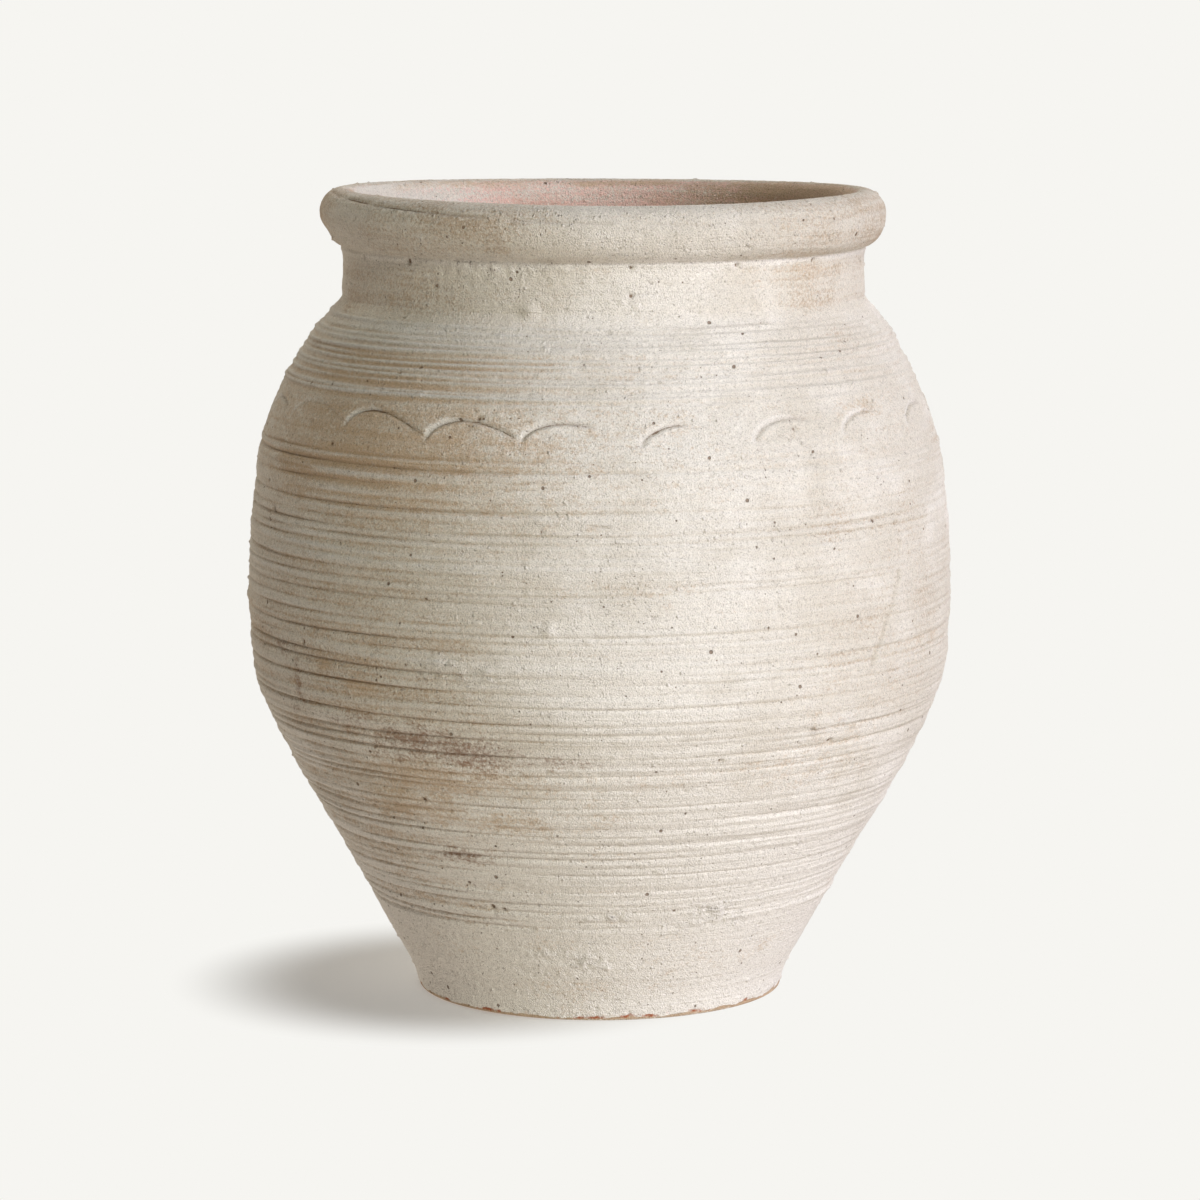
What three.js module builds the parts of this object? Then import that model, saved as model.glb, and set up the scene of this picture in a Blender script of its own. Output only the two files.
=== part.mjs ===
import * as THREE from "three";

// A large clay jar, built up as a potter builds one that is too tall to throw in one go.
// A slab floor carries a foot wall, and each further course of wall is thrown on the one below.
// A neck and a rolled rim finish it. Every course sits on a flat land, and a tongue
// under it drops into a groove in the course below, which the potter fills with slip.
// Sizes are in millimetres. The origin is the middle of the underside, and Z is up.

// Clay thicknesses, measured square to the wall
const WALL = 11;
const FLOOR_THICKNESS = 13;

// Rise of each course, from its lower seam to its upper one
const FOOT_RISE = 42;
const LOWER_RISE = 60;
const HIP_RISE = 65;
const BELLY_RISE = 70;
const UPPER_BELLY_RISE = 65;
const SHOULDER_RISE = 78;
const NECK_RISE = 25;

// Outer radius at the table, at the top of the floor, and at the middle and top of the lowest courses
const BASE_RADIUS = 103;
const FLOOR_TOP_RADIUS = 107;
const FOOT_MIDDLE_RADIUS = 118.5;
const FOOT_TOP_RADIUS = 130;
const LOWER_MIDDLE_RADIUS = 147;
const LOWER_TOP_RADIUS = 164.5;

// Greatest outer radius, at the middle of the belly, and how far the wall has drawn in from it
// at the middle and top of the courses round it
const BELLY_RADIUS = 198.5;
const HIP_MIDDLE_DRAW = 17;
const HIP_TOP_DRAW = 3.5;
const BELLY_TOP_DRAW = 0.5;
const UPPER_BELLY_MIDDLE_DRAW = 3;
const UPPER_BELLY_TOP_DRAW = 8;
const SHOULDER_MIDDLE_DRAW = 24.5;

// Outer radius of the neck, at its foot on the shoulder, its middle and its top
const NECK_FOOT_RADIUS = 147.5;
const NECK_MIDDLE_RADIUS = 146.5;
const NECK_TOP_RADIUS = 146.3;

// Rolled rim: how far it stands out of the neck, how far its crest stands out,
// and the heights of its widest line and crest over the neck's top
const ROLL_PROUD = 12.5;
const CREST_PROUD = 0.5;
const ROLL_WIDEST_RISE = 19;
const ROLL_CREST_RISE = 32;
const ROLL_UNDERCUT_RISE = 3;

// Rounding of the edge on the table, and of the corner where the inside wall meets the floor
const BASE_ARRIS = 2;
const FLOOR_FILLET = 8;

// Throwing ridges up the body: slant distance from groove to groove, and how deep the grooves are
const RIDGE_PITCH = 9;
const RIDGE_DEPTH = 1;

// Tongue and groove at every seam, and the slip-filled clearance round the tongue
const TONGUE_HEIGHT = 3;
const TONGUE_WIDTH = 4;
const SLIP_GAP = 0.3;

// Facets round the jar, steps up a smooth wall face, and steps round a quarter of the roll and the fillet
const FACETS = 48;
const OUTER_STEPS = 4;
const INNER_STEPS = 2;
const ROLL_STEPS = 5;
const FILLET_STEPS = 3;

// Colours: chalky wash over the walls, bare fired clay underneath
const WASHED_CLAY = "#cfc6b8";
const BARE_CLAY = "#b98d72";

const course = (name, rise, middle, top, ridged) => ({ name, rise, middle, top, ridged });
const courses = [
  course("foot_wall", FOOT_RISE, FOOT_MIDDLE_RADIUS, FOOT_TOP_RADIUS, false),
  course("lower_wall", LOWER_RISE, LOWER_MIDDLE_RADIUS, LOWER_TOP_RADIUS, true),
  course("hip_wall", HIP_RISE, BELLY_RADIUS - HIP_MIDDLE_DRAW, BELLY_RADIUS - HIP_TOP_DRAW, true),
  course("belly_wall", BELLY_RISE, BELLY_RADIUS, BELLY_RADIUS - BELLY_TOP_DRAW, true),
  course(
    "upper_belly_wall",
    UPPER_BELLY_RISE,
    BELLY_RADIUS - UPPER_BELLY_MIDDLE_DRAW,
    BELLY_RADIUS - UPPER_BELLY_TOP_DRAW,
    true,
  ),
  course("shoulder_wall", SHOULDER_RISE, BELLY_RADIUS - SHOULDER_MIDDLE_DRAW, NECK_FOOT_RADIUS, true),
  course("neck_collar", NECK_RISE, NECK_MIDDLE_RADIUS, NECK_TOP_RADIUS, false),
];

// The radii from the table to the rim, two knots to a course
const knots = [new THREE.Vector3(BASE_RADIUS, 0, 0), new THREE.Vector3(FLOOR_TOP_RADIUS, FLOOR_THICKNESS, 0)];
let seamHeight = FLOOR_THICKNESS;
for (const { rise, middle, top } of courses) {
  knots.push(new THREE.Vector3(middle, seamHeight + rise / 2, 0));
  seamHeight += rise;
  knots.push(new THREE.Vector3(top, seamHeight, 0));
}

// The outside is one smooth curve up the body and another up the neck, which stands on the shoulder
// with a firm corner
const cornerKnot = knots.length - 3;
const bodyCurve = new THREE.CatmullRomCurve3(knots.slice(0, cornerKnot + 1), false, "centripetal");
const neckCurve = new THREE.CatmullRomCurve3(knots.slice(cornerKnot), false, "centripetal");

// The wall's outer and inner point at one height. Position counts knots from the table,
// and the inner point is level with the outer one, in by the clay as the slope makes it.
function wallAt(position) {
  const onNeck = position >= cornerKnot;
  const curve = onNeck ? neckCurve : bodyCurve;
  const t = (position - (onNeck ? cornerKnot : 0)) / (curve.points.length - 1);
  const outer = curve.getPoint(t);
  const tangent = curve.getTangent(t);
  const thickness = WALL * Math.hypot(1, tangent.x / tangent.y);
  return {
    outer: new THREE.Vector2(outer.x, outer.y),
    inner: new THREE.Vector2(outer.x - thickness, outer.y),
  };
}

// The wall's points at the seam under a course, counted from the foot wall.
// Between two ridged courses the seam lies in a groove.
function seamUnder(index) {
  const seam = wallAt(1 + 2 * index);
  if (courses[index - 1]?.ridged && courses[index]?.ridged) seam.outer.x -= RIDGE_DEPTH;
  return seam;
}

// Points strictly between two positions on one face of the wall, going up
function faceBetween(low, high, face, steps) {
  const points = [];
  for (let i = 1; i < steps; i++) points.push(wallAt(low + ((high - low) * i) / steps)[face]);
  return points;
}

// The outside of a ridged course between its seams, going up: a crest halfway between each two grooves
function ridgesBetween(low, high) {
  const slant = wallAt(low).outer.distanceTo(wallAt(high).outer);
  const count = Math.max(1, Math.round(slant / RIDGE_PITCH));
  const points = faceBetween(low, high, "outer", 2 * count);
  points.forEach((point, i) => {
    if (i % 2 === 1) point.x -= RIDGE_DEPTH;
  });
  return points;
}

// The tongue under a seam, or the groove over it, as three points from the outside in
function notch(seam, clearance) {
  const middle = (seam.outer.x + seam.inner.x) / 2;
  const half = TONGUE_WIDTH / 2 + clearance;
  const tip = seam.outer.y - TONGUE_HEIGHT - clearance;
  return [
    new THREE.Vector2(middle + half, seam.outer.y),
    new THREE.Vector2(middle, tip),
    new THREE.Vector2(middle - half, seam.outer.y),
  ];
}

// A closed outline, given anticlockwise, swept round the jar's axis
function turned(outline) {
  const geometry = new THREE.LatheGeometry([...outline, outline[0]], FACETS);
  geometry.rotateX(Math.PI / 2);
  return geometry;
}

function clayMesh(name, geometry, colour) {
  const material = new THREE.MeshStandardMaterial({ color: colour, roughness: 0.95, metalness: 0 });
  const mesh = new THREE.Mesh(geometry, material);
  mesh.name = name;
  return mesh;
}

const floorTop = seamUnder(0);
const floorSeam = {
  outer: floorTop.outer,
  inner: new THREE.Vector2(floorTop.inner.x - FLOOR_FILLET, floorTop.inner.y),
};

// The slab that the jar stands on, with its table edge rounded and a groove for the foot wall
function floorDisc() {
  const arrisEnd = wallAt(BASE_ARRIS / FLOOR_THICKNESS).outer;
  const outline = [
    new THREE.Vector2(0, 0),
    new THREE.Vector2(arrisEnd.x - BASE_ARRIS, 0),
    arrisEnd,
    floorSeam.outer,
    ...notch(floorTop, SLIP_GAP),
    new THREE.Vector2(0, FLOOR_THICKNESS),
  ];
  return turned(outline);
}

// The rounded inside corner, from the floor out and up to the wall
function floorCorner() {
  const points = [];
  for (let i = 1; i <= FILLET_STEPS; i++) {
    const angle = (Math.PI / 2) * (i / FILLET_STEPS);
    const height = FLOOR_FILLET * (1 - Math.cos(angle));
    const wall = wallAt(1 + height / (FOOT_RISE / 2)).inner;
    points.push(new THREE.Vector2(wall.x - FLOOR_FILLET * (1 - Math.sin(angle)), wall.y));
  }
  return points;
}

// One course of wall between two seams. Only the lowest has the rounded corner on its inside.
function courseWall(index) {
  const low = 1 + 2 * index;
  const high = low + 2;
  const seam = seamUnder(index);
  const nextSeam = seamUnder(index + 1);
  const onFloor = index === 0;
  const innerLow = onFloor ? low + FLOOR_FILLET / (FOOT_RISE / 2) : low;
  const outline = [
    seam.outer,
    ...(courses[index].ridged ? ridgesBetween(low, high) : faceBetween(low, high, "outer", OUTER_STEPS)),
    nextSeam.outer,
    ...notch(nextSeam, SLIP_GAP),
    nextSeam.inner,
    ...faceBetween(innerLow, high, "inner", INNER_STEPS).reverse(),
    ...(onFloor ? floorCorner().reverse() : []),
    onFloor ? floorSeam.inner : seam.inner,
    ...notch(seam, 0).reverse(),
  ];
  return turned(outline);
}

// A quarter of an oval from one angle to the next, in steps, without its first point
function ovalArc(centre, across, up, from) {
  const points = [];
  for (let i = 1; i <= ROLL_STEPS; i++) {
    const angle = from + (Math.PI / 2) * (i / ROLL_STEPS);
    points.push(new THREE.Vector2(centre.x + across * Math.cos(angle), centre.y + up * Math.sin(angle)));
  }
  return points;
}

// The thick roll on the neck: a drooping oval outside, a rounded crest, and an inside
// that falls straight into the neck
function rimRoll() {
  const seam = seamUnder(courses.length);
  const centre = new THREE.Vector2(seam.outer.x + CREST_PROUD, seam.outer.y + ROLL_WIDEST_RISE);
  const outward = ROLL_PROUD - CREST_PROUD;
  const inward = centre.x - seam.inner.x;
  const droop = ROLL_WIDEST_RISE - ROLL_UNDERCUT_RISE;
  const crown = ROLL_CREST_RISE - ROLL_WIDEST_RISE;
  const outline = [
    seam.outer,
    new THREE.Vector2(centre.x, seam.outer.y + ROLL_UNDERCUT_RISE),
    ...ovalArc(centre, outward, droop, -Math.PI / 2),
    ...ovalArc(centre, outward, crown, 0),
    ...ovalArc(centre, inward, crown, Math.PI / 2),
    seam.inner,
    ...notch(seam, 0).reverse(),
  ];
  return turned(outline);
}

const jar = new THREE.Group();
jar.add(clayMesh("floor_disc", floorDisc(), BARE_CLAY));
courses.forEach((course, index) => jar.add(clayMesh(course.name, courseWall(index), WASHED_CLAY)));
jar.add(clayMesh("rim_roll", rimRoll(), WASHED_CLAY));

export default jar;
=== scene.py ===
import math
from collections import namedtuple
from functools import lru_cache, reduce

import bpy
import numpy as np
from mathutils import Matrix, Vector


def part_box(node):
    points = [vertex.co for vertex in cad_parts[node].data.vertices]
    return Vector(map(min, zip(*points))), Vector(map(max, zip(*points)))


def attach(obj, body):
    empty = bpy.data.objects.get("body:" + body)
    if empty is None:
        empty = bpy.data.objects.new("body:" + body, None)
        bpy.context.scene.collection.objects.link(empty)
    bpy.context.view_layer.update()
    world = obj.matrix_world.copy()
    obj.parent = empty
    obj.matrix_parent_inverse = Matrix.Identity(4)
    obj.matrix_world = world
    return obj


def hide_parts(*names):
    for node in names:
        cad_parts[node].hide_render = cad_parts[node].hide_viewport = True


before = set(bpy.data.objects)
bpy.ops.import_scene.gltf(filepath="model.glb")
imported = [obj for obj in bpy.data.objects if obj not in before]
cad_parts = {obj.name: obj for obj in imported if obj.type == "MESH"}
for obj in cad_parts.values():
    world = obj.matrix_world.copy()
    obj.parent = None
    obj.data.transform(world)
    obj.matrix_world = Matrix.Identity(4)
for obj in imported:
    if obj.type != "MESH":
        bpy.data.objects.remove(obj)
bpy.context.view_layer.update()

# A large thrown clay jar under a chalky wash: every course of clay as a fine displaced surface, its
# fired-clay finish, and the plain pale studio that it stands in. Lengths are in metres where nothing
# else is said. Azimuth is measured in degrees round the jar from the viewer's side, towards the right.

bl_info = {
    "name": "Washed clay jar",
    "version": (1, 0, 0),
    "blender": (4, 5, 0),
    "location": "View3D > Sidebar > Clay jar",
    "description": "Throws a ridged clay jar course by course and sets it in a pale studio",
    "category": "Add Mesh",
}

MM = 0.001
FLOOR = "floor_disc"
WALLS = (
    "foot_wall", "lower_wall", "hip_wall", "belly_wall", "upper_belly_wall", "shoulder_wall", "neck_collar",
)
ROLL = "rim_roll"

# The piece under each course of the wall, and the height of every piece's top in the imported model
BELOW = dict(zip(WALLS, (FLOOR, *WALLS)))
SEAM = {node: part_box(node)[1][2] for node in (FLOOR, *WALLS, ROLL)}

# Grid of each piece: columns round the jar, and the steps along the outside, inside and underside
COLUMNS = 760
OUTSIDE_STEP = 0.7 * MM
MOST_OUTSIDE_ROWS = 105
INSIDE_STEP = 5.0 * MM
UNDERSIDE_STEP = 2.5 * MM

# Rows of random numbers under the noise
LATTICE_ROWS = 512


def length(name, text, millimetres):
    """A length property, given in millimetres."""
    return bpy.props.FloatProperty(name=name, description=text, default=millimetres * MM, unit="LENGTH")


def lengths(name, text, *millimetres):
    """A property of several lengths, given in millimetres."""
    values = [value * MM for value in millimetres]
    return bpy.props.FloatVectorProperty(
        name=name, description=text, size=len(values), default=values, unit="LENGTH"
    )


def share(name, text, value):
    """A property between nothing and all."""
    return bpy.props.FloatProperty(
        name=name, description=text, default=value, min=0, max=1, subtype="FACTOR"
    )


def colour(name, text, *value):
    """A colour property, linear."""
    return bpy.props.FloatVectorProperty(
        name=name, description=text, default=value, min=0, max=1, subtype="COLOR"
    )


class JarForm(bpy.types.PropertyGroup):
    """The smooth form under the marks: outer radii, wall and roll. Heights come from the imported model."""

    wall: length("Wall", "Clay thickness, square to the wall", 11)
    base: lengths("Base", "Outer radius at the table and at the top of the floor", 103, 107)
    foot_wall: lengths("Foot wall", "Outer radius at the middle and the top", 118.5, 130)
    lower_wall: lengths("Lower wall", "Outer radius at the middle and the top", 147, 164.5)
    hip_wall: lengths("Hip wall", "Outer radius at the middle and the top", 181.5, 195)
    belly_wall: lengths("Belly wall", "Outer radius at the middle and the top", 198.5, 198)
    upper_belly_wall: lengths("Upper belly wall", "Outer radius at the middle and the top", 195.5, 190.5)
    shoulder_wall: lengths("Shoulder wall", "Outer radius at the middle and the top", 174, 147.5)
    neck_collar: lengths("Neck collar", "Outer radius at the middle and the top", 146.5, 146.3)
    arris: length("Table edge", "Rounding of the edge on the table", 2)
    fillet: length("Inside corner", "Rounding where the inside wall meets the floor", 8)
    roll_proud: length("Roll proud", "How far the roll stands out of the neck", 12.5)
    crest_proud: length("Crest proud", "How far the roll's crest stands out of the neck", 0.5)
    roll_widest: length("Roll's widest line", "Its height over the neck's top", 19)
    roll_undercut: length("Roll's undercut", "Height of its lower edge over the neck's top", 3)
    tongue_height: length("Tongue height", "Height of the tongue under each course", 3)
    tongue_width: length("Tongue width", "Width of the tongue at its root", 4)
    slip_gap: length("Slip gap", "Clearance round the tongue, filled with slip", 0.3)


class ThrowingMarks(bpy.types.PropertyGroup):
    """The marks that the potter's fingers and the wheel leave."""

    stray: share("Stray", "How far the groove strays up and down, in parts of its pitch", 0.34)
    groove: length("Groove depth", "Depth of a firm groove on the body", 1.0)
    groove_width: length("Groove width", "Half width of a groove on the body", 0.65)
    lip: length("Lip", "How soon a band of clay swells out over the groove under it", 1.1)
    skirt: length("Skirt", "How soon a band of clay draws in to the groove over it", 2.0)
    crest: length("Shoulder crest", "Height of the shoulder's crests", 0.85)
    crest_width: length("Crest width", "Half width of a shoulder crest", 0.85)
    trough: length("Shoulder trough", "Depth of the finger troughs between the crests", 0.35)
    drag: length("Drag", "Height of the fine drag lines", 0.5)
    sway: length("Sway", "Slow unevenness of the hand-made wall", 0.5)
    smooth_foot: length("Smooth foot", "Height up to which the foot was trimmed smooth", 57)
    smooth_neck: length("Smooth neck", "Height from which the neck was wiped smooth", 390)
    bare_edge: length("Bare edge", "Height up to which the table edge has no wash", 2.0)
    inner_pitch: length("Inner pitch", "Distance between the finger rings inside", 15)
    inner_ring: length("Inner ring", "Height of the finger rings inside", 0.8)


class CutMarks(bpy.types.PropertyGroup):
    """The scallops cut round the shoulder with a stick, and the burr of the other scratches."""

    rise: length("Scallop rise", "Slant height of a scallop", 10.5)
    depth: length("Cut depth", "Depth of a firm cut", 2.2)
    bevel: length("Bevel", "Width of the sloping side of the cut", 2.7)
    edge: length("Edge", "Width of the steep side of the cut", 1.1)
    burr: length("Burr", "Height of the clay pushed up beside a scratch", 0.5)


class ClayColours(bpy.types.PropertyGroup):
    """Colours of the clay, the wash and the stains."""

    wash: colour("Wash", "Chalky wash, thick", 0.90, 0.85, 0.785)
    wash_shade: colour("Wash shade", "Chalky wash where it dried thinner", 0.76, 0.70, 0.615)
    # Also painted light, on what stands proud on the side in shade
    film: colour("Film", "Cool grey film of lime on the wash", 0.80, 0.775, 0.74)
    clay: colour("Clay", "Sandy clay where the wash is thin", 0.60, 0.475, 0.355)
    inner_clay: colour("Inner clay", "Pink clay inside the mouth", 0.84, 0.575, 0.50)
    bare: colour("Bare clay", "Unwashed clay of the underside", 0.60, 0.45, 0.32)
    chip: colour("Chip", "Freshly broken red clay", 0.44, 0.15, 0.07)
    # Also painted shade: the dark line in the grooves on the side in shade, and along the scallops' steep
    # side
    dirt_and_shade: colour("Dirt", "Old dirt in grooves and pits", 0.22, 0.14, 0.085)
    smoke: colour("Smoke", "Brown kiln smoke", 0.35, 0.225, 0.16)
    # Also painted shade, in the hollows on the side in shade and on the inner wall out of the light
    tan: colour("Tan", "Sandy orange that shows through the wash", 0.60, 0.44, 0.295)
    grain: colour("Grain", "Pale grains and lumps of lime", 0.88, 0.84, 0.77)


class Studio(bpy.types.PropertyGroup):
    """The backdrop and the light from all round."""

    backdrop: colour("Backdrop", "Colour that the floor and backdrop show", 0.922, 0.913, 0.880)
    ambient: colour("Ambient", "Colour of the light from all round", 1.0, 0.92, 0.78)
    ambient_level: share("Ambient level", "Strength of the light from all round", 0.02)
    glow: colour("Glow", "Light that the pale floor throws back on the jar", 0.60, 0.54, 0.465)
    floor_half: length("Floor half width", "Half width of the floor", 60000)
    floor_drop: length("Floor drop", "How far the floor lies under the jar", 0.2)
    shadow_middle: lengths("Shadow middle", "Where the jar's shadow lies on the floor", -80, 0)
    shadow_core: length("Shadow core", "How far the shadow keeps its depth", 80)
    shadow_reach: length("Shadow reach", "How far out the shadow has faded away", 170)
    shadow_lift: share("Shadow lift", "Share of the floor's colour that the shadow leaves", 0.3)
    eye: lengths("Camera", "Where the camera stands", 0, -2595, 592)
    pitch: bpy.props.FloatProperty(
        name="Pitch",
        description="How far the camera looks down",
        default=math.radians(8.17),
        subtype="ANGLE",
    )
    lens: bpy.props.FloatProperty(name="Lens", description="Focal length in millimetres", default=138.9)


GROUPS = {
    "jar_form": JarForm,
    "throwing_marks": ThrowingMarks,
    "cut_marks": CutMarks,
    "clay_colours": ClayColours,
    "studio": Studio,
}

# Rows of a piece's outline, each one array: the place in the plane of the axis, the direction of
# the surface there, the slant length up the outside, and how far the row is inside the jar.
# A joint row lies on a seam, hidden between two courses.
Rows = namedtuple("Rows", "radius height out up along inside joint")

# The grid that the marks are worked out on: part of a turn across, rows down, and the smooth outside
Face = namedtuple("Face", "turns radius height along wall")

# What the marks give for each point of a face: how far it stands out, how dark its grooves, cuts and pits
# are, partly dirt and partly painted shade, how thick the wash lies, and how strongly it shows the grey
# film with painted light on what stands proud, tan with painted shade in the hollows, smoke, broken clay
# and grit
Coat = namedtuple("Coat", "relief recess wash film tan smoke chip grit")

# In all the tables of marks, azimuths are in degrees and every length is in millimetres.
# Slant distance between two turns of the thrown groove, at heights up the jar
PITCHES = ((0, 5.5), (110, 5.4), (185, 5.2), (300, 5.6), (340, 4.6), (360, 3.9), (390, 3.7))

# The crease where the clay was folded over on top of the roll: azimuths and heights
CREASE = ((-90, 449), (-64, 447.5), (-36, 444.6), (0, 441.2), (20, 440.2), (90, 440))

# The side in shade: its azimuth and half width. The grooves are deepest there, and the painted shade in the
# # hollows and the painted light on what stands proud are strongest
LEFT = (-50, 125)

# Scallops on the side that is seen, from the left: azimuth and height of the low point where each starts,
# how firmly it is cut, and how much of its way the cut lasts
SCALLOPS = (
    (-66.5, 332.0, 0.35, 1.0), (-47.6, 333.1, 0.8, 1.0), (-29.5, 329.1, 1.0, 0.97),
    (-12.7, 329.6, 0.85, 0.6), (6.9, 327.9, 0.75, 0.4), (26.3, 328.6, 0.6, 0.62),
    (45.0, 329.6, 0.6, 0.5), (65.4, 327.7, 0.65, 0.6),
)

# Stones and lumps under the skin: azimuth, height, radius and rise
LUMPS = (
    (-14.5, 393.7, 4.2, 1.7), (-7.7, 231.2, 3.2, 1.1), (-85, 226, 5, 1.3), (22, 231, 2.6, 0.6),
    (-31, 418.5, 3, 0.9), (28, 421, 3, 0.8), (8.5, 393, 2.4, 0.5), (-38, 181, 2.6, 0.7),
    (33, 300, 2.4, 0.5), (-3, 152, 2.2, 0.5),
)

# Pits where a stone fell or burst out: azimuth, height, radius and depth
PITS = (
    (-66, 281.7, 2.0, 2.2), (-54.3, 213.1, 1.8, 1.6), (-44.8, 440, 2.0, 1.8), (-62.3, 438.7, 1.4, 1.2),
    (-37, 406.1, 1.6, 1.2), (6.4, 402.9, 1.6, 1.2), (6.3, 437, 1.4, 1.2), (29.4, 435.8, 1.5, 1.4),
    (51.1, 426.7, 1.5, 1.4), (-25.4, 67.8, 1.9, 1.8), (-22.5, 67.0, 1.4, 1.2), (-56, 352, 1.5, 1.2),
    (-39, 361, 1.4, 1.2), (-50, 322, 1.5, 1.4), (-20.5, 340.5, 1.6, 1.6), (34, 333, 1.5, 1.2),
    (55, 278, 1.6, 1.4), (-9, 283, 1.4, 1.0), (41, 163, 1.8, 1.6), (20, 158, 1.5, 1.4),
    (-33, 132, 1.6, 1.3), (60, 222, 1.4, 1.2),
)

# Rough patches: azimuth, height, half width, half height and strength
ROUGH_PATCHES = (
    (-60.5, 208.7, 16, 9, 0.5), (-25.8, 208.8, 15, 7, 1.0), (-19.4, 205.8, 15, 6, 0.9), (27, 66, 13, 6, 1.0),
    (33, 60, 10, 4, 0.7), (22, 59, 8, 3, 0.7), (4.1, 65.1, 8, 3, 0.9), (-4, 37, 10, 5, 1.0),
    (-14, 42, 12, 5, 0.5), (-14, 27, 18, 8, 0.2), (-44, 46, 18, 8, 0.2), (-25, 420, 45, 8, 0.6),
    (10, 424, 25, 6, 0.3), (44, 176, 9, 6, 0.4), (-52, 431, 20, 4, 0.5),
)

# Stains by kind: azimuth, height, half width, half height and strength
STAINS = {
    "smoke": (
        (-42, 174, 26, 8, 0.45), (-31, 167, 30, 11, 0.7), (-22, 161, 30, 12, 0.8), (-10, 159, 28, 4, 0.6),
        (-34, 157, 24, 5, 0.5), (-29, 99, 18, 6, 0.8), (-56.5, 188, 3, 17, 0.6), (-61, 207, 14, 6, 0.45),
        (-58, 176, 12, 7, 0.3),
    ),
    "tan": (
        (-29, 147, 66, 13, 1.0), (-36, 128, 50, 16, 0.85), (-18, 121, 38, 11, 0.7), (-49, 203, 9, 4, 0.9),
        (-41, 195, 16, 7, 0.8), (-30, 180, 70, 12, 0.35), (-40, 42, 30, 16, 0.2), (-5, 20, 60, 9, 0.3),
        (52, 341, 28, 6, 0.55), (30, 346, 22, 5, 0.35), (47, 438, 34, 7, 0.75), (62, 400, 16, 12, 0.12),
        (-52, 334, 46, 18, 0.75), (-28, 352, 70, 14, 0.7), (-14, 324, 46, 14, 0.75), (-48, 318, 50, 9, 0.6),
        (8, 345, 60, 10, 0.3), (12, 148, 60, 8, 0.25), (-2, 421, 14, 3, 0.6), (24, 30, 24, 6, 0.25),
    ),
}

# Scratches: azimuth and height of both ends, half width and depth
SCRATCHES = (
    (55.0, 249.9, 47.9, 204.8, 2.3, 1.6), (55.6, 266.5, 55.4, 264.5, 1.6, 1.2),
    (35.8, 263.3, 35.7, 256.4, 0.8, 0.6), (35.9, 172.0, 37.1, 170.3, 0.8, 1.0),
    (37.1, 170.3, 38.9, 170.8, 0.8, 1.0), (14.0, 385.0, 36.0, 387.0, 0.7, 0.4),
    (-2.0, 286.5, 1.5, 285.5, 0.7, 0.6), (-44.0, 60.5, -30.0, 60.0, 0.7, 0.5),
)

# Chips on the table edge: azimuth and half width
EDGE_CHIPS = ((-56, 4), (-37, 5), (-33, 2), (-6, 3), (-1.5, 6), (8, 4), (15.5, 5), (31, 5), (52, 3), (81, 5))

# Lamps: azimuth, elevation and angular width in degrees, strength and colour
LAMPS = {
    "Key softbox": (63, 12, 30, 1.66, (0.84, 0.83, 1)),
    "High key softbox": (60, 35, 12, 0.55, (0.85, 0.83, 1)),
    "Front softbox": (18, 35, 12, 1.03, (0.97, 0.985, 0.87)),
    "Low front softbox": (30, 12, 30, 0.60, (0.94, 1, 0.86)),
    "Rim softbox": (-150, 18, 30, 1.20, (1, 0.91, 0.75)),
    "Back softbox": (165, 30, 40, 1.15, (0.98, 0.97, 0.95)),
}

# The floor has a lamp of its own, higher up, so that the jar's shadow stays short
FLOOR_LAMP = {"Floor softbox": (83, 63, 24, 3.0, (1, 1, 1))}


def fade(x):
    """A smooth step from 0 to 1: 6x to the fifth, less 15x to the fourth, plus 10x cubed."""
    x = unit(x)
    return x * x * x * (x * (6 * x - 15) + 10)


def unit(x):
    """A number held between 0 and 1."""
    return np.clip(x, 0, 1)


def between(x, low, high):
    """0 below low, 1 above high, with a smooth step from one to the other."""
    return fade((x - low) / (high - low))


def above(x, low, high):
    """The same for low and high in millimetres."""
    return between(x, low * MM, high * MM)


def bell(x, width=1):
    """A bell curve, 1 at its middle: the exponential of minus the square of x over the width."""
    return np.exp(-((x / width) ** 2))


def strongest(*masks):
    """The greatest of several masks at each point."""
    return reduce(np.maximum, masks)


@lru_cache(maxsize=None)
def lattice(cells, seed):
    """Random numbers from -1 to 1 at the corners of a lattice."""
    return np.random.default_rng(seed).uniform(-1, 1, (LATTICE_ROWS, cells))


def cloud(turns, rise, cells, cell_rise, seed):
    """Noise that closes round the jar: the lattice's numbers, with cells of them round the jar and one
    every cell_rise up it, blended by the smooth step across and then up."""
    table = lattice(cells, seed)
    across = np.mod(turns, 1) * cells
    up = rise / cell_rise
    left = np.floor(across).astype(int)
    low = np.floor(up).astype(int)
    a = fade(across - left)
    b = fade(up - low)
    left, right = left % cells, (left + 1) % cells
    low, high = low % LATTICE_ROWS, (low + 1) % LATTICE_ROWS
    lower = table[low, left] * (1 - a) + table[low, right] * a
    upper = table[high, left] * (1 - a) + table[high, right] * a
    return lower * (1 - b) + upper * b


def mottle(face, cells, size, seed, layers=1):
    """Noise on a face, size millimetres to a cell. Each further layer has twice the cells, half the height
    and half the strength of the one before."""
    total = 0
    for layer in range(layers):
        scale = 2**layer
        total = total + cloud(face.turns, face.along, cells * scale, size * MM / scale, seed + layer) / scale
    return total


def strand(s, cell, seed):
    """Noise along the thrown groove, s turns up its thread."""
    return cloud(np.zeros_like(s), s, 1, cell, seed)


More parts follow.
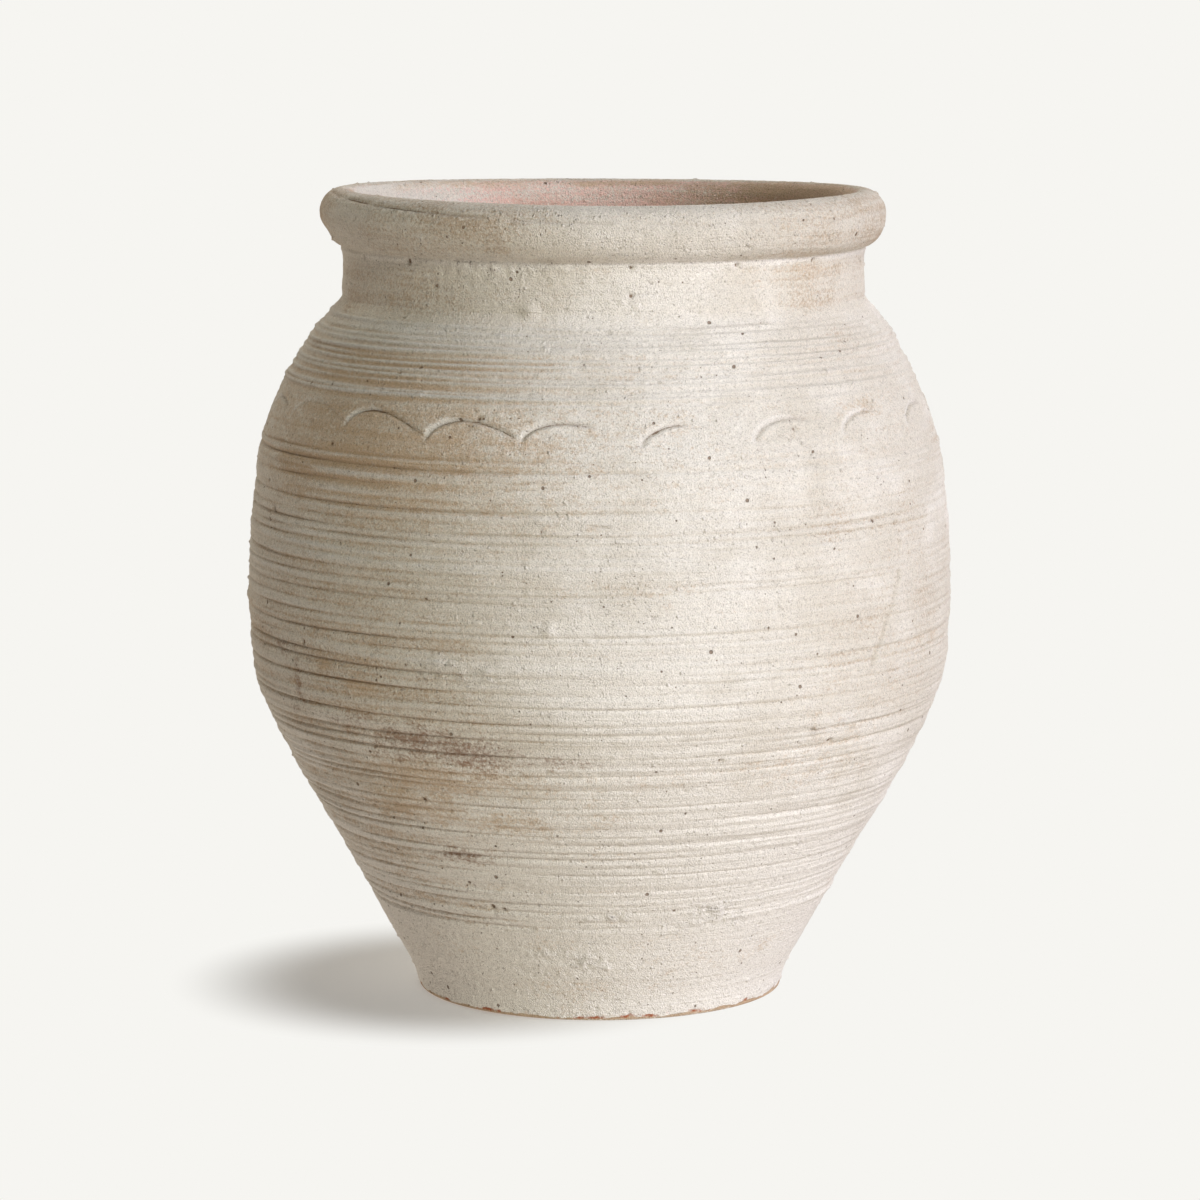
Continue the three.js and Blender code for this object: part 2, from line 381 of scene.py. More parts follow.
def scattered(face, cells, sizes, kept, seed):
    """Round spots, at most one in each cell of a lattice that closes round the jar. The sizes are a cell's
    height and a spot's least and greatest radius, in millimetres. A share of the cells keep their spots,
    and a spot falls from 1 at its middle to 0 at its rim as one less the squared distance, squared."""
    size, least, most = (value * MM for value in sizes)
    table = np.random.default_rng(seed).uniform(0, 1, (4, LATTICE_ROWS, cells))
    across = np.mod(face.turns, 1) * cells
    up = face.along / size
    column = np.floor(across).astype(int) % cells
    row = np.floor(up).astype(int) % LATTICE_ROWS
    place, lift, spread, chance = (layer[row, column] for layer in table)
    radius = least + (most - least) * spread**2
    width = 2 * math.pi * face.radius / cells
    margin_across = np.minimum(radius / width, 0.45)
    margin_up = np.minimum(radius / size, 0.45)
    x = (across % 1 - (margin_across + (1 - 2 * margin_across) * place)) * width
    y = (up % 1 - (margin_up + (1 - 2 * margin_up) * lift)) * size
    inside = unit(1 - (x * x + y * y) / radius**2)
    return np.where(chance < kept, inside**2, 0)


def thread_climb(wall):
    """The thrown groove without its straying: lengths up the outside, the turns of the thread up to each,
    which are the steps between them over the pitch, and the pitch there. It runs on past both ends."""
    overrun = 200 * MM
    heights, pitches = np.array(PITCHES).T * MM
    along = np.concatenate(([-overrun], wall[:, 4], [wall[-1, 4] + overrun]))
    pitch = np.interp(np.concatenate(([0], wall[:, 1], wall[-1:, 1])), heights, pitches)
    turns = np.concatenate(([0], np.cumsum(np.diff(along) / pitch[1:])))
    return along, turns, pitch


def groove_height(s, climb, marks):
    """Where the thrown groove lies, as a length up the outside, s turns up its thread, strayed up and
    down by noise of two sizes along the thread."""
    along, turns, pitch = climb
    stray = 0.75 * strand(s, 0.31, 11) + 0.25 * strand(s, 0.083, 12)
    return np.interp(s, turns, along) + marks.stray * np.interp(s, turns, pitch) * stray


def thread(face, marks):
    """The thrown groove round each point: how many turns up the thread the groove under it lies, the part
    of the way from there up to the next, and the distance between the two."""
    climb = thread_climb(face.wall)
    ends = np.interp((face.along.min(), face.along.max()), climb[0], climb[1])
    lowest, highest = math.floor(ends[0]) - 2, math.ceil(ends[1]) + 2
    under = np.full(np.broadcast(face.turns, face.along).shape, float(lowest))
    for turn in range(lowest + 1, highest):
        under += face.along >= groove_height(turn + face.turns, climb, marks)
    s = under + face.turns
    low = groove_height(s, climb, marks)
    gap = groove_height(s + 1, climb, marks) - low
    return s, (face.along - low) / gap, gap


def through(knots):
    """A smooth curve through the knots: between each two a cubic, whose end slopes come from the knots on
    both sides, weighed by the square roots of the distances between them."""
    steps = 160
    ends = np.vstack((2 * knots[0] - knots[1], knots, 2 * knots[-1] - knots[-2]))
    gap = np.sqrt(np.linalg.norm(np.diff(ends, axis=0), axis=1))[:, None]
    before, start, end, after = ends[:-3], ends[1:-2], ends[2:-1], ends[3:]
    first, span, last = gap[:-2], gap[1:-1], gap[2:]
    leave = ((start - before) / first - (end - before) / (first + span) + (end - start) / span) * span
    reach = ((end - start) / span - (after - start) / (span + last) + (after - end) / last) * span
    t = np.linspace(0, 1, steps, endpoint=False)[:, None, None]
    bend = (3 * (end - start) - 2 * leave - reach) * t**2
    cubic = start + leave * t + bend + (2 * (start - end) + leave + reach) * t**3
    return np.vstack((cubic.transpose(1, 0, 2).reshape(-1, 2), knots[-1:]))


def lengths_along(points):
    """How far along a path of points each one lies."""
    return np.concatenate(([0], np.cumsum(np.linalg.norm(np.diff(points, axis=0), axis=1))))


def with_directions(points):
    """Rows of radius, height, outward and upward part of the normal, and length along the curve."""
    slope = np.gradient(points, axis=0)
    slope /= np.linalg.norm(slope, axis=1)[:, None]
    return np.column_stack((points, slope[:, 1], -slope[:, 0], lengths_along(points)))


def outer_wall(form):
    """The smooth outside from the table to the top of the neck, finely stepped: one curve up the body and
    one up the neck, with a corner between, through the courses' radii at their seams and middles."""
    knots = [(form.base[0], 0), (form.base[1], SEAM[FLOOR])]
    for node, under in BELOW.items():
        middle, top = getattr(form, node)
        knots += [(middle, (SEAM[under] + SEAM[node]) / 2), (top, SEAM[node])]
    corner = len(knots) - 3
    body = through(np.array(knots[: corner + 1]))
    neck = through(np.array(knots[corner:]))
    return with_directions(np.vstack((body, neck[1:])))


def wall_at(wall, column, values):
    """Rows of the smooth outside where a column of it has these values."""
    return np.column_stack([np.interp(values, wall[:, column], wall[:, k]) for k in range(5)])


def stretch(wall, low, high, step):
    """Rows of the smooth outside from one height to another, evenly spaced along it."""
    start, end = np.interp((low, high), wall[:, 1], wall[:, 4])
    count = min(MOST_OUTSIDE_ROWS, max(2, math.ceil((end - start) / step) + 1))
    return wall_at(wall, 4, np.linspace(start, end, count))


def outline(*columns):
    """Outline rows from the columns of Rows, each an array or one number. Without the last two, the rows
    are outside the jar and not on a seam."""
    columns = (*columns, 0, 0)[: len(Rows._fields)]
    return np.column_stack(np.broadcast_arrays(*columns))


def inside_rows(rows, wall):
    """Outline rows on the inner face: level with the outer ones, in by the wall as the slope makes it."""
    radius, height, out, up, along = rows.T
    return outline(radius - wall / out, height, -out, -up, along, 1)


def notch_rows(form, seam, clearance):
    """The tongue under a seam, or the groove over it: three rows from the outside in."""
    radius, height, out, _, along = seam
    middle = radius - form.wall / out / 2
    half = form.tongue_width / 2 + clearance
    tip = height - form.tongue_height - clearance
    return outline((middle + half, middle, middle - half), (height, tip, height), 0, 0, along, 0, 1)


def as_rows(*parts):
    """One outline from its parts, as named arrays."""
    return Rows(*np.vstack(parts).T)


def course_rows(form, wall, node):
    """A course's outline: up the outside, in over the groove for the next course, down the inside and
    out over the tongue. The lowest course ends in a rounded corner on the floor."""
    low = SEAM[BELOW[node]]
    on_floor = BELOW[node] == FLOOR
    outside = stretch(wall, low, SEAM[node], OUTSIDE_STEP)
    inside = stretch(wall, low + on_floor * form.fillet, SEAM[node], INSIDE_STEP)[::-1]
    return as_rows(
        outline(*outside.T),
        notch_rows(form, outside[-1], form.slip_gap),
        inside_rows(inside, form.wall),
        *([corner_rows(form, wall, low)] if on_floor else []),
        notch_rows(form, outside[0], 0)[::-1],
    )


def corner_rows(form, wall, low):
    """The rounded corner between the inside wall and the floor: a quarter circle laid on the wall,
    from just under its top down to the floor."""
    corner_steps = 7
    angle = np.linspace(math.pi / 2, 0, corner_steps + 1)[1:]
    inner = inside_rows(wall_at(wall, 1, low + form.fillet * (1 - np.cos(angle))), form.wall)
    inner[:, 0] -= form.fillet * (1 - np.sin(angle))
    inner[:, 2] = -np.sin(angle)
    inner[:, 3] = np.cos(angle)
    return inner


def floor_rows(form, wall):
    """The floor's outline, from the middle of the underside out to the table edge, up to the seam, in
    over the groove and across to the middle of the inside."""
    edge_steps = 6
    first_ring = 4 * MM
    top = SEAM[FLOOR]
    flat_edge = wall_at(wall, 1, [form.arris])[0, 0] - form.arris
    radius = np.linspace(first_ring, flat_edge, math.ceil(flat_edge / UNDERSIDE_STEP))
    under = outline(radius, 0, 0, -1, radius - flat_edge - form.arris)
    angle = np.linspace(-math.pi / 2, 0, edge_steps + 2)[1:-1]
    out, up = np.cos(angle), np.sin(angle)
    height = form.arris * (1 + up)
    edge = outline(flat_edge + form.arris * out, height, out, up, height)
    flank = outline(*stretch(wall, form.arris, top, OUTSIDE_STEP).T)
    notch = notch_rows(form, wall_at(wall, 1, [top])[0], form.slip_gap)
    land = notch[-1, 0]
    radius = np.linspace(land, first_ring, math.ceil(land / INSIDE_STEP) + 1)[1:]
    return as_rows(under, edge, flank, notch, outline(radius, top, 0, 1, land - radius, 1))


def roll_rows(form, wall):
    """The rim's outline: out of the neck under the roll, round a drooping oval to its widest line, over
    the crest, and down the inside to the seam. Each part is a quarter of an oval."""
    seam = wall[-1]
    low = SEAM[WALLS[-1]]
    crown = SEAM[ROLL] - low - form.roll_widest
    centre = np.array([seam[0] + form.crest_proud, low + form.roll_widest])
    outward = form.roll_proud - form.crest_proud
    inward = centre[0] - (seam[0] - form.wall)
    droop = form.roll_widest - form.roll_undercut
    quarter = np.linspace(0, math.pi / 2, 120)

    def oval(across, up, start):
        angle = start + quarter
        return np.column_stack((centre[0] + across * np.cos(angle), centre[1] + up * np.sin(angle)))

    neck = np.array([[seam[0], low]])
    undercut = np.array([[centre[0], low + form.roll_undercut]])
    parts = (
        neck,
        neck * 0.35 + undercut * 0.65,
        oval(outward, droop, -math.pi / 2)[6:],
        oval(outward, crown, 0)[1:],
        oval(inward, crown, math.pi / 2)[1:],
        neck - (form.wall, 0),
    )
    path = np.vstack(parts)
    along = lengths_along(path)
    even = np.linspace(0, along[-1], math.ceil(along[-1] / OUTSIDE_STEP) + 1)
    rows = with_directions(np.column_stack([np.interp(even, along, path[:, k]) for k in range(2)]))
    rows[:, 4] += seam[4]
    crest = seam[4] + along[np.argmax(path[:, 1])]
    turn_in = 7 * MM
    inside = between(rows[:, 4], crest + turn_in * 0.2, crest + turn_in)
    return as_rows(outline(*rows.T, inside), notch_rows(form, seam, 0)[::-1])


def distance_round(face, azimuth):
    """Signed distance round the jar from an azimuth, along the surface."""
    return (np.mod(face.turns - azimuth / 360 + 0.5, 1) - 0.5) * 2 * math.pi * face.radius


def side(face, azimuth, width):
    """A bell curve round the jar, by the azimuth of its middle and its width in millimetres."""
    return bell(distance_round(face, azimuth), width * MM)


def up_to(face, height):
    """How far up the outside a height in millimetres lies, or several."""
    return np.interp(np.multiply(height, MM), face.wall[:, 1], face.wall[:, 4])


def spot(face, azimuth, height, across, up):
    """A soft round spot: 1 at its middle, falling as the bell curve, with the half width and half height
    given in millimetres."""
    return side(face, azimuth, across) * bell(face.along - up_to(face, height), up * MM)


def patches(face, spots):
    """The strongest of several soft spots at each point."""
    return strongest(*(strength * spot(face, *place) for *place, strength in spots))


def to_path(x, y, path):
    """Distance of each point from a path of straight stretches, the side it lies on, and how far along
    the path its foot is, from 0 to 1."""
    nearest = np.full(np.broadcast(x, y).shape, 1e9)
    side_of = np.ones_like(nearest)
    progress = np.zeros_like(nearest)
    for index, (start, end) in enumerate(zip(path[:-1], path[1:])):
        dx, dy = end - start
        reach = unit(((x - start[0]) * dx + (y - start[1]) * dy) / (dx * dx + dy * dy))
        offset_x = x - start[0] - reach * dx
        offset_y = y - start[1] - reach * dy
        distance = np.hypot(offset_x, offset_y)
        closer = distance < nearest
        nearest = np.where(closer, distance, nearest)
        side_of = np.where(closer, np.sign(dx * offset_y - dy * offset_x), side_of)
        progress = np.where(closer, (index + reach) / (len(path) - 1), progress)
    return nearest, side_of, progress


def near(face, rows, azimuth, middle, half):
    """The block of a face in some rows and about an azimuth, and how far round from the azimuth and how
    far up each point of it lies. The block's middle and half width are degrees from the azimuth."""
    turn = np.mod(face.turns[0] - azimuth / 360 + 0.25, 1) - 0.25
    columns = np.flatnonzero(np.abs(turn * 360 - middle) < half)
    x = turn[columns][None, :] * 2 * math.pi * face.radius[rows]
    return np.ix_(rows, columns), x, np.broadcast_to(face.along[rows], x.shape)


def blank(face):
    """Nothing on every point of a face."""
    return np.zeros(np.broadcast(face.turns, face.along).shape)


def body_zone(face, marks):
    """How much of the throwing ridges is left: none on the trimmed foot and the wiped neck, and little
    in the calm band that carries the scallops."""
    height = face.height
    sway = cloud(face.turns, height, 4, 90 * MM, 41) * 2.5 * MM
    foot = between(height + sway, marks.smooth_foot - 2 * MM, marks.smooth_foot + 2 * MM)
    neck = 1 - between(height + sway * 0.4, marks.smooth_neck - 6 * MM, marks.smooth_neck)
    calm = above(height, 316, 325) * (1 - above(height, 343, 350))
    return foot * neck * (1 - 0.8 * calm)


def throwing_ridges(face, marks):
    """The thrown groove, as deep as the finger pressed there. On the body it is a bell-shaped cut between
    bands of clay that swell out over it and draw in to it from above, each as the exponential of the
    distance from it. On the shoulder the thread is a narrow crest instead, over a thin dark line of painted
    shade, between hollow troughs. Gives the relief, the dark line in the grooves, partly dirt and partly
    painted shade, how light each band is, with a painted highlight on the lip just under a groove, and the
    crests."""
    s, part, gap = thread(face, marks)
    shoulder = above(face.height, 338, 350)
    body = 1 - shoulder
    low_body = 1 - above(face.height, 140, 225)
    left = side(face, *LEFT)
    depth = marks.groove * (0.85 + 0.9 * left + low_body * (0.4 * left - 0.35)) * body
    relief, recess, crests = blank(face), blank(face), blank(face)
    for turn, distance, reach in ((s, part * gap, marks.lip), (s + 1, (1 - part) * gap, marks.skirt)):
        press = np.clip(0.65 + 0.55 * strand(turn, 0.19, 13) + 0.35 * strand(turn, 0.045, 14), 0.2, 1.4)
        speckled = np.clip(press - 0.15 + 0.5 * strand(turn, 0.009, 17), 0, 1.3)
        width = distance / marks.groove_width
        relief -= depth * press * (0.5 * bell(width) + 0.6 * np.exp(-distance / reach))
        recess += bell(width * 1.2) * speckled * body
        crests += bell(distance, marks.crest_width) * (0.2 + 0.8 * press) * shoulder
        if reach == marks.skirt:
            # A thin dark line under each shoulder crest: painted shade
            recess += 0.8 * bell(width - 1.7) * speckled * shoulder
            # A random lightness for each band, with a painted highlight about 2 mm under the groove over it
            band_tone_and_highlight = strand(s, 0.27, 19) + 1.6 * np.exp(-((distance / reach - 1) ** 2) / 0.2) * press * body
    trough = np.sin(math.pi * unit(part)) ** 2 * shoulder
    relief += marks.crest * crests - marks.trough * (0.7 + 0.3 * strand(s, 0.35, 18)) * trough
    zone = body_zone(face, marks)
    return relief * zone, recess * zone, band_tone_and_highlight * zone, crests * zone


def drag_lines(face, marks):
    """Fine lines that the grit drags round: noise stretched far round the jar, in three sizes, stronger in
    some places than in others."""
    firm = 0.8 + 0.5 * mottle(face, 9, 26, 24)
    broad, middle, fine = mottle(face, 7, 4.8, 21), mottle(face, 10, 2.4, 22), mottle(face, 22, 1.6, 23)
    return marks.drag * firm * (0.9 * broad + 0.8 * middle + 0.45 * fine)


def scallop_cuts(face, cuts):
    """A row of scallops cut with a stick held aslant. Each rises steeply from its low point and falls
    gently to the next, as the sine of a power of the way across. The cut slopes in on its outer side, and
    widest where it rises, and is steep on its inner side, with a little burr there. Gives the relief, a
    dark line of painted shadow along the steep side, and a painted highlight on the sloping side."""
    relief, line, bevel_highlight = blank(face), blank(face), blank(face)
    # On the side that isn't seen: how many scallops there are, the degrees from the last one seen to the
    # first of them, and the height about which their low points lie
    hidden, gap, low = 12, 18, 329
    # The height of the scallops' foot, and the middle and half width of the block of the face that each is
    # worked out on, in degrees from its low point
    foot, middle, half = 330, 9.5, 16
    first, last = SCALLOPS[0][0], SCALLOPS[-1][0]
    spread = np.linspace(last + gap, first + 360, hidden + 1)[:-1]
    chance = lattice(hidden, 53)
    rest = [(a, low + c, 0.5 + 0.3 * d, 0.7 + 0.3 * d) for a, c, d in zip(spread, chance[0], chance[1])]
    scallops = (*SCALLOPS, *rest)
    rows = np.flatnonzero(np.abs(face.along[:, 0] - up_to(face, foot) - cuts.rise / 2) < cuts.rise)
    if len(rows) == 0:
        return relief, line, bevel_highlight
    way = np.linspace(0, 1, 36)
    mean_radius = float(face.radius[rows].mean())
    for (azimuth, height, force, reach), follower in zip(scallops, (*scallops[1:], scallops[0])):
        across = math.radians((follower[0] - azimuth) % 360) * mean_radius
        start, end = up_to(face, (height, follower[1]))
        arc = start + (end - start) * way + cuts.rise * np.sin(math.pi * way**0.72) ** 0.85
        block, x, y = near(face, rows, azimuth, middle, half)
        distance, side_of, progress = to_path(x, y, np.column_stack((way * across, arc)))
        fading = force * (1 - between(progress, reach - 0.1, reach + 0.04)) * between(progress, -0.02, 0.02)
        bevel = cuts.bevel * (0.35 + 0.65 * (1 - between(progress, 0.15, 0.5)))
        outer = side_of > 0
        from_edge = distance / cuts.edge
        cut = np.where(outer, unit(1 - distance / bevel) ** 1.3, unit(1 - from_edge))
        burr = np.where(outer, 0, bell(from_edge - 2)) * cuts.burr
        # The sloping side painted pale as a highlight, most where the scallop rises; the steep side gets a
        # dark line of painted shadow
        pale = np.where(outer, bell((distance / bevel) ** 2), 0) * (1 - 0.8 * between(progress, 0.2, 0.7))
        relief[block] = np.minimum(relief[block], -cut * cuts.depth * fading) + burr * fading
        line[block] = np.maximum(line[block], bell(from_edge) * np.minimum(1, 1.4 * fading))
        bevel_highlight[block] = np.maximum(bevel_highlight[block], pale * fading)
    return relief, line, bevel_highlight


def scratches(face, cuts):
    """Short scratches: a rounded cut along each, with clay pushed up on both sides. Gives the relief and
    the dark line along the cut, or along both its edges where it is wide."""
    relief, line = blank(face), blank(face)
    margin = 10 * MM
    for azimuth, height, end_azimuth, end_height, half_width, depth in SCRATCHES:
        ends = up_to(face, (height, end_height))
        along = face.along[:, 0]
        rows = np.flatnonzero((along > ends.min() - margin) & (along < ends.max() + margin))
        if len(rows) == 0:
            continue
        middle = (azimuth + end_azimuth) / 2
        block, x, y = near(face, rows, middle, 0, abs(azimuth - end_azimuth) / 2 + 5)
        across = np.radians((azimuth - middle, end_azimuth - middle)) * face.radius[rows].mean()
        distance = to_path(x, y, np.column_stack((across, ends)))[0] / (half_width * MM)
        burr = cuts.burr * np.exp(-((distance - 1.7) ** 2) / 0.3)
        relief[block] -= depth * MM * bell(distance**2) - burr
        edge = np.exp(-((distance - 0.8) ** 2) / 0.12) if half_width > 1.5 else bell(distance)
        line[block] = np.maximum(line[block], edge * 0.8)
    return relief, line


def hand_marks(face):
    """The listed lumps and pits: each lump a bell, each pit a flat-bottomed bell. Gives the relief, and the
    pits as a dark mask."""
    relief, dark = blank(face), blank(face)
    for azimuth, height, radius, rise in LUMPS:
        relief += rise * MM * spot(face, azimuth, height, radius, radius)
    for azimuth, height, radius, depth in PITS:
        mouth = unit(1.7 * spot(face, azimuth, height, radius, radius) - 0.25)
        relief -= depth * MM * mouth
        dark = np.maximum(dark, mouth)
    return relief, dark


def edge_coat(face, marks):
    """The table edge: the height of the bare band, which wanders, and the chips along its top, a few named
    ones and many small ones where noise is high."""
    level = face.along * 0
    wander = 0.7 * cloud(face.turns, level, 60, 1, 91) + 0.5 * cloud(face.turns, level, 190, 1, 92)
    over = face.along - marks.bare_edge - wander * MM
    small = unit(mottle(face, 220, 1.6, 93) * 1.8 - 0.75) * bell(over, 1.4 * MM)
    named = strongest(*(side(face, *chip) for chip in EDGE_CHIPS)) * bell(over - 0.3 * MM, 1.1 * MM)
    return above(over, -0.5, 0.5), np.maximum(small, named)


def crease_line(face):
    """The fold on top of the roll: a bell across it, broken along it where noise is low."""
    azimuth = np.mod(face.turns * 360 + 180, 360) - 180
    over = face.height - np.interp(azimuth, *np.array(CREASE).T) * MM
    return bell(over, 0.9 * MM) * unit(mottle(face, 70, 3, 94) * 1.2 + 0.6)


def outside_coat(face, marks, cuts):
    """All the marks on the outside together. In the hollows between them the wash is painted thin and tan
    as painted shade, and what stands proud is painted cool and pale as painted light, most of all on the
    left."""
    height = face.height
    left = side(face, *LEFT)
    ridges, grooves, band_tone_and_highlight, crests = throwing_ridges(face, marks)
    ridged = body_zone(face, marks)
    drag = drag_lines(face, marks)
    cut, cut_shadow_line, bevel_highlight = scallop_cuts(face, cuts)
    scratch, scratch_line = scratches(face, cuts)
    marked, pits = hand_marks(face)
    washed, chip = edge_coat(face, marks)
    crease = crease_line(face) * (0.4 + 0.6 * left)
    lumps = scattered(face, 60, (20, 1.2, 2.6), 0.45, 61)
    small_pits = scattered(face, 110, (11, 0.9, 1.5), 0.22, 62)
    grit = patches(face, ROUGH_PATCHES)
    coarse = mottle(face, 330, 3.4, 66) + 0.6 * mottle(face, 420, 2.1, 67)
    bead = bell(height - 418.8 * MM, 2.2 * MM)
    calm = 1 - 0.85 * spot(face, 37.6, 178.4, 10, 9)
    slow_sway = marks.sway * (0.8 * mottle(face, 5, 75, 31) + 0.45 * mottle(face, 13, 24, 32))
    small = 0.8 * lumps - small_pits - 1.1 * crease + (0.1 + 0.8 * grit) * coarse + bead
    small = small - 0.5 * chip - 0.25 * (1 - washed)
    relief = ridges * calm + drag * (0.15 + 0.85 * ridged) + slow_sway + cut + scratch + marked + small * MM
    # The grooves' dark line is strongest on the side in shade: partly dirt and partly painted shade
    shaded = 0.09 + 0.91 * side(face, -58, 150)
    recess = grooves * calm * 0.75 * shaded + cut_shadow_line * 0.95 + scratch_line
    recess = recess + pits + small_pits * 0.8 + crease
    # Painted shade in the hollows and painted light on what stands proud, strongest on the left; the band's
    # lip counts as proud
    proud = (ridges + drag) / marks.drag + 0.5 + 0.35 * band_tone_and_highlight
    hollow_shade = unit(0.4 - 0.75 * proud) * (0.35 + 0.65 * left)
    proud_highlight = unit(0.15 + 0.7 * proud) * ridged
    shoulder_side = 0.12 + 0.88 * side(face, -42, 115)
    sunny = above(height, 245, 330) * (1 - above(height, 366, 388))
    faint_tan = unit(mottle(face, 9, 42, 72, 3) * 0.5 - 0.12)
    # Tan stains, deepened in the hollows on the left as painted shade, and cleared on the bead, the crests
    # and the bevel's painted highlight
    stained = np.maximum(patches(face, STAINS["tan"]), sunny * shoulder_side) * (0.7 + 0.4 * hollow_shade)
    tan = strongest(stained, faint_tan * (0.3 + 0.7 * hollow_shade), left * ridged * hollow_shade * 0.45)
    tan = tan * (1 - 0.95 * unit(bevel_highlight + bead + crests)) * washed
    # Smoke, also deepened in the hollows as painted shade
    smoke = patches(face, STAINS["smoke"]) * (0.8 + 0.3 * hollow_shade)
    upper = above(height, 150, 260)
    smooth = above(height, 386, 394)
    # The grey film on the shoulder's crests and the neck's left, and painted light on what stands proud on
    # the left
    film = np.maximum(crests * shoulder_side, proud_highlight * left * (0.3 + 0.5 * upper)) + 0.2 * left * smooth
    film = film * (1 - unit(bead + bevel_highlight))
    plateau = side(face, 8, 70) * (1 - 0.3 * ridged * upper)
    foot = 1 - above(height, 60, 210)
    roll = above(height, 417, 423)
    # The wash is painted thinner in the hollows on the left as shade, and thicker on the scallops' bevel as
    # a highlight
    wash = 0.85 + 0.2 * mottle(face, 7, 60, 71, 3) - 0.2 * hollow_shade * ridged - grooves * 0.15 + 0.3 * grit
    wash = (wash + bevel_highlight + 0.4 * bead) / 1.5 + 0.25 * plateau + 0.35 * foot - 0.13 * smooth - 0.09 * roll
    rough = strongest(grit, 0.35 * roll, 0.35 * left)
    return Coat(relief, *map(unit, (recess, wash * washed, film, tan, smoke, chip, rough)))


def inside_coat(face, marks):
    """Finger rings inside: a slow wave up the wall that climbs one ring in a turn, with fine drag lines,
    a thin patchy wash, thicker on one side as painted light where the lamps reach in, and tan clay on the
    other as painted shade, and along the crest of the rim."""
    wander = mottle(face, 4, 60, 81) * 0.3
    wave = np.cos(2 * math.pi * (face.along / marks.inner_pitch + face.turns + wander))
    depth = 0.6 + 0.4 * mottle(face, 5, 50, 82)
    relief = marks.inner_ring * wave * depth * 0.5 + drag_lines(face, marks) * 0.3
    # Thicker wash on the inner wall that the lamps light: painted light
    wash = unit(0.1 + 0.16 * mottle(face, 6, 40, 83, 3) + 0.42 * side(face, -110, 130))
    worn = unit(mottle(face, 26, 5, 84) + 0.4) * above(face.height, 443, 448)
    # Tan on the inner wall in shade is painted shade; on the rim's crest it is wear
    tan = np.maximum(worn, side(face, 118, 100))
    flat = blank(face)
    return Coat(relief, unit(-wave) * 0.15, wash, flat, tan, flat, flat, 0.3 + flat)


def underside_coat(face):
    """The underside: shallow curved steps where the wire cut the jar off the wheel, circles round a point
    off to one side, with drag marks of grit, all above the flat ring that meets the table."""
    angle = 2 * math.pi * face.turns
    x = -face.radius * np.sin(angle) - 60 * MM
    y = face.radius * np.cos(angle) * 1.3 + 25 * MM
    step = np.mod(np.hypot(x, y) / (8 * MM) + mottle(face, 9, 30, 96) * 0.8, 1)
    rough = mottle(face, 60, 9, 97, 3)
    hollow = 1 - above(face.radius, 88, 97)
    relief = -(0.25 + 0.3 * step + 0.12 * np.abs(rough)) * MM * hollow
    wash = unit(0.1 + 0.35 * mottle(face, 12, 40, 98, 3))
    flat = blank(face)
    return Coat(relief, (1 - step) ** 6 * 0.5, wash, flat, flat, flat, flat, 0.3 + flat)


def settle(radius, height, turns):
    """Where a point of the true form lies on the hand-made one, all growing from the foot, which stands
    flat and round: a slightly oval belly, a fuller shoulder, a top that leans to one side, and a roll that
    is cut away under its left and rises and falls."""
    angle = 2 * math.pi * turns
    oval = 0.8 * np.cos(2 * angle + 0.6) * above(height, 0, 200)
    fuller = 1.3 * bell(height - 374 * MM, 5.5 * MM)
    pinched = 0.8 * bell(height - 391 * MM, 5 * MM)
    lean = 1.7 * np.sin(angle) * above(height, 330, 400)
    cut_away = 2.2 * unit(-np.sin(angle)) ** 2 * bell(height - 427 * MM, 4.5 * MM)
    wave = 1.2 + 0.43 * np.cos(angle) - 0.95 * np.cos(2 * angle) - 0.55 * np.sin(angle)
    radius = radius + (oval + fuller - pinched + lean - cut_away) * MM
    return radius, height + wave * MM * above(height, 400, 450)


def coat_for(rows, turns, wall):
    """The marks on every row of an outline: outside and inside blended by how far inside the row is, and
    the underside on the rows that face the table. A seam has no relief."""
    scene = bpy.context.scene
    marks = scene.throwing_marks
    radius, height, _, up, along, inside, joint = (values[:, None] for values in rows)
    face = Face(turns, radius, height, along, wall)
    coats = (outside_coat(face, marks, scene.cut_marks), inside_coat(face, marks), underside_coat(face))
    under = between(-up, 0.3, 0.95) * (height < scene.jar_form.arris)
    coat = Coat(*((a * (1 - inside) + b * inside) * (1 - under) + c * under for a, b, c in zip(*coats)))
    return coat._replace(relief=coat.relief * (1 - joint))


def ring_faces(rows, closed):
    """Quads between neighbouring rows of the grid, which closes round the jar, and from the last row to
    the first one if the outline is closed."""
    row = np.arange(rows if closed else rows - 1)[:, None]
    column = np.arange(COLUMNS)[None, :]
    beside = (column + 1) % COLUMNS
    here, over = row * COLUMNS, (row + 1) % rows * COLUMNS
    return np.stack((here + column, here + beside, over + beside, over + column), axis=-1).reshape(-1, 4)


def fan_faces(row, pole, outward):
    """Triangles between a pole and the row of vertices round it."""
    column = np.arange(COLUMNS)
    ring = (row * COLUMNS + (column + 1) % COLUMNS, row * COLUMNS + column)
    return np.column_stack((np.full(COLUMNS, pole), *(ring if outward else ring[::-1])))


def make_mesh(name, points, quads, triangles):
    """A smooth mesh from whole arrays of points and corners."""
    mesh = bpy.data.meshes.new(name)
    corners = np.concatenate((quads.ravel(), triangles.ravel()))
    starts = np.concatenate((np.arange(len(quads)) * 4, len(quads) * 4 + np.arange(len(triangles)) * 3))
    mesh.vertices.add(len(points))
    mesh.vertices.foreach_set("co", points.astype(np.float32).ravel())
    mesh.loops.add(len(corners))
    mesh.loops.foreach_set("vertex_index", corners.astype(np.int32))
    mesh.polygons.add(len(starts))
    mesh.polygons.foreach_set("loop_start", starts.astype(np.int32))
    mesh.update(calc_edges=True)
    mesh.shade_smooth()
    return mesh


